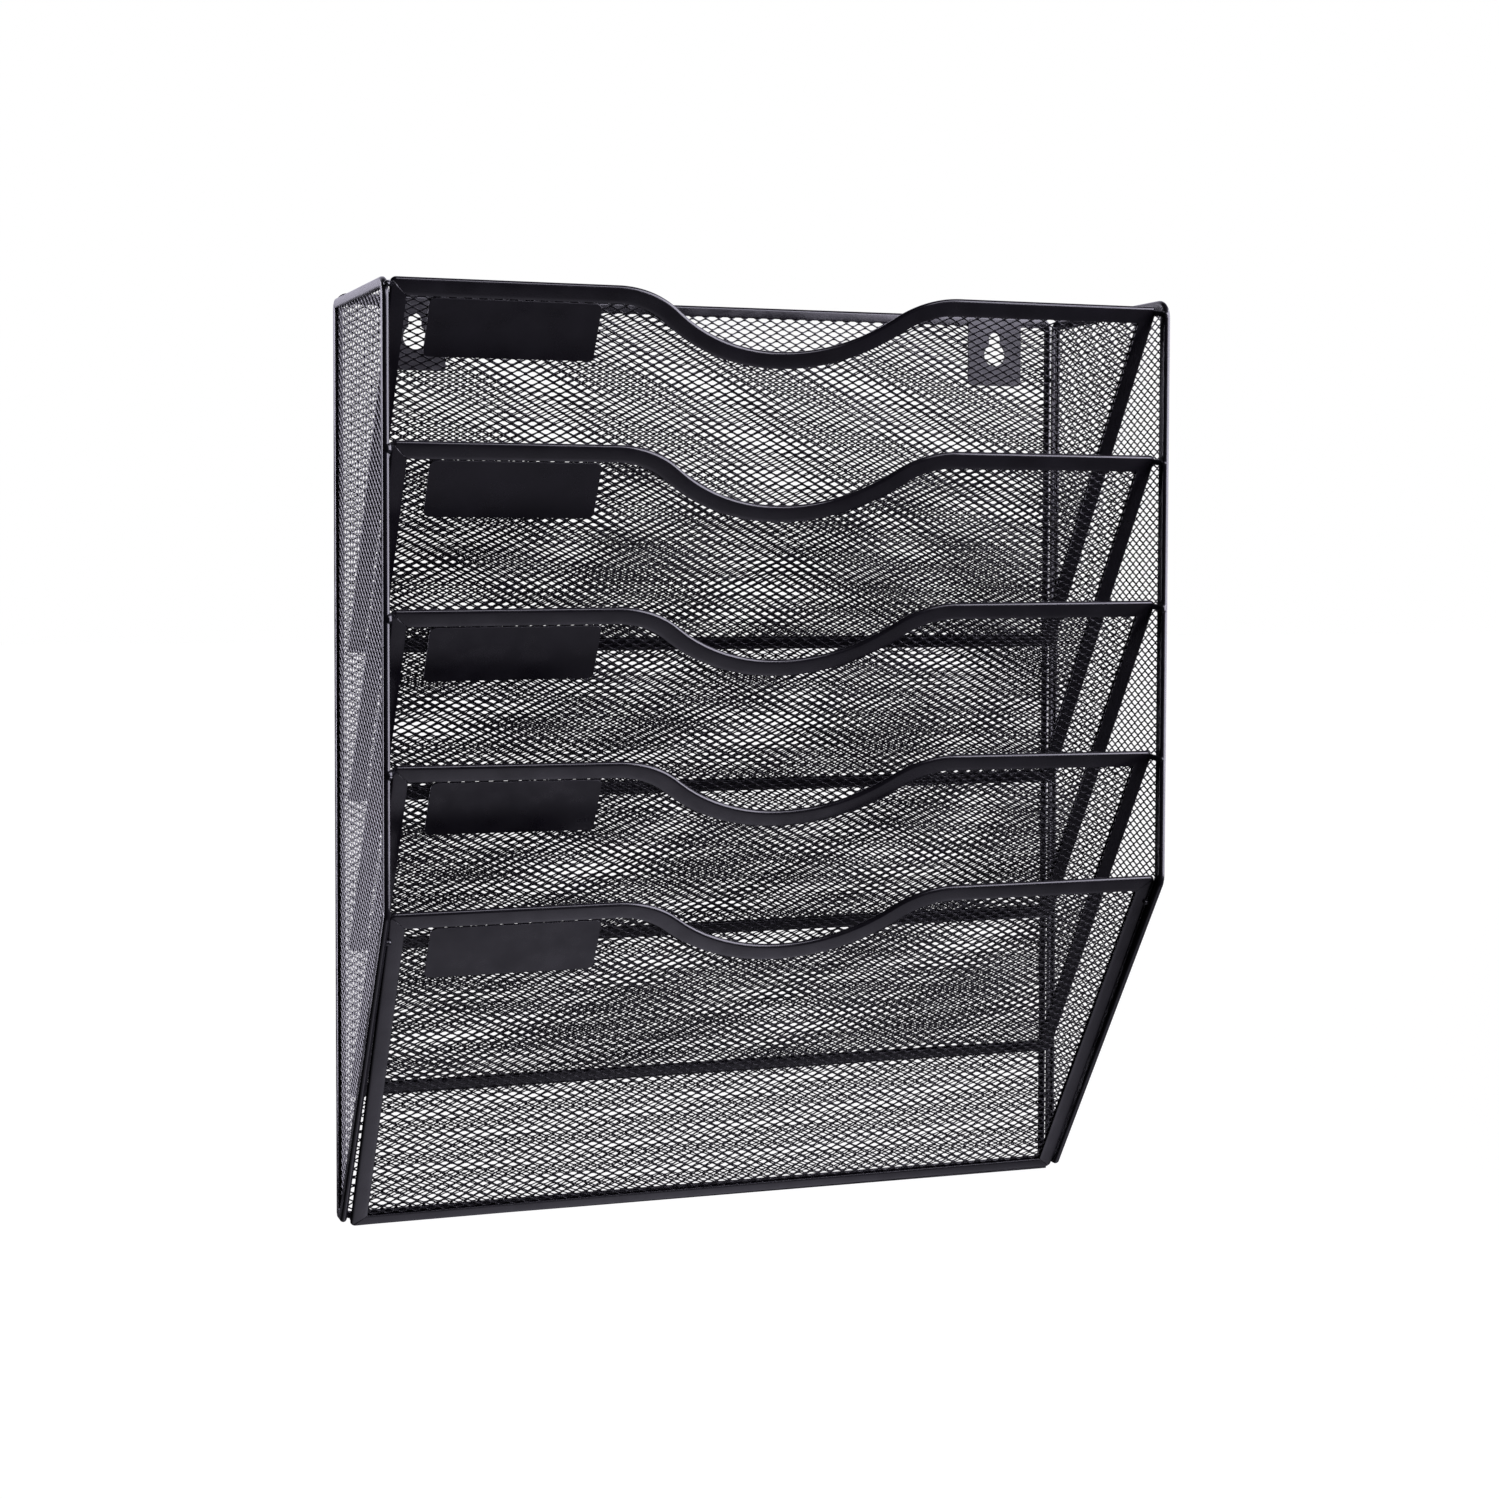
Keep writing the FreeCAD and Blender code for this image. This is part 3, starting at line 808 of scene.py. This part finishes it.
def add_world():
    """White to the camera. To the holder, a dark room that is pale straight below and low behind."""
    world = bpy.data.worlds.new("studio")
    bpy.context.scene.world = world
    world.use_nodes = True
    nodes, links = world.node_tree.nodes, world.node_tree.links
    place = nodes.new("ShaderNodeTexCoord")
    split = nodes.new("ShaderNodeSeparateXYZ")
    links.new(place.outputs["Generated"], split.inputs["Vector"])

    def fade(axis, low, high, at_low, at_high):
        node = nodes.new("ShaderNodeMapRange")
        node.interpolation_type = "SMOOTHSTEP"
        node.inputs["From Min"].default_value = low
        node.inputs["From Max"].default_value = high
        node.inputs["To Min"].default_value = at_low
        node.inputs["To Max"].default_value = at_high
        links.new(split.outputs[axis], node.inputs["Value"])
        return node.outputs["Result"]

    def combine(operation, first, second):
        node = nodes.new("ShaderNodeMath")
        node.operation = operation
        links.new(first, node.inputs[0])
        links.new(second, node.inputs[1])
        return node.outputs["Value"]

    below = combine("MULTIPLY", fade("Z", -0.98, -0.86, 1.6, 0.12), fade("X", 0.05, 0.4, 0.25, 1))
    behind = combine("MULTIPLY", fade("Z", 0.02, 0.09, 0, 1), fade("Y", 0.3, 0.8, 0, 1))
    links.new(combine("ADD", below, behind), nodes["Background"].inputs["Strength"])
    nodes["Background"].inputs["Color"].default_value = (*COOL_WHITE, 1)
    white = nodes.new("ShaderNodeBackground")
    white.inputs["Color"].default_value = (1, 1, 1, 1)
    path = nodes.new("ShaderNodeLightPath")
    choice = nodes.new("ShaderNodeMixShader")
    links.new(path.outputs["Is Camera Ray"], choice.inputs["Fac"])
    links.new(nodes["Background"].outputs["Background"], choice.inputs[1])
    links.new(white.outputs["Background"], choice.inputs[2])
    links.new(choice.outputs["Shader"], nodes["World Output"].inputs["Surface"])


def add_studio():
    """Pale floor far below the holder, white surroundings and three softboxes."""
    bpy.context.scene.view_settings.view_transform = "Standard"
    add_world()
    bpy.ops.mesh.primitive_plane_add(size=FLOOR_SIZE, location=(0, 0, FLOOR_HEIGHT))
    floor = bpy.context.object
    floor.name = "studio_floor"
    floor.visible_glossy = False
    floor.visible_diffuse = False
    pale = bpy.data.materials.new("pale_floor")
    pale.use_nodes = True
    shader = pale.node_tree.nodes["Principled BSDF"]
    shader.inputs["Base Color"].default_value = (0.1, 0.1, 0.1, 1)
    shader.inputs["Roughness"].default_value = 0.9
    shader.inputs["Emission Color"].default_value = (1, 1, 1, 1)
    shader.inputs["Emission Strength"].default_value = 0.95
    floor.data.materials.append(pale)
    add_softbox("key", 62, 15, (2.2, 1.4), 8)
    add_softbox("fill", 12, 34, (0.6, 0.6), 5)
    add_softbox("rim", 222, 0, (0.7, 0.9), 5.5)


def main():
    """Build the looks over the frame."""
    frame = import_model()
    materials = {
        "rim": coated_steel("rim_powder_coat", BLACK, 0.21, 0.03),
        "mesh": coated_steel("mesh_powder_coat", BLACK, 0.26, 0.02),
        "label_plate": coated_steel("label_powder_coat", BLACK, 0.30, 0.03),
        "floor_strip": coated_steel("floor_powder_coat", BLACK, 0.30, 0.03),
        "hanger_plate": coated_steel("hanger_powder_coat", (0.006, 0.0055, 0.007), 0.32, 0.03),
        "weld": coated_steel("weld_gloss_coat", (0.004, 0.004, 0.005), 0.16, 0.06),
    }
    build_back(materials)
    build_sides(materials)
    build_fronts(materials)
    build_welds(materials)
    paint_floors(frame["nodes"], materials["floor_strip"])
    add_camera()
    add_studio()


main()
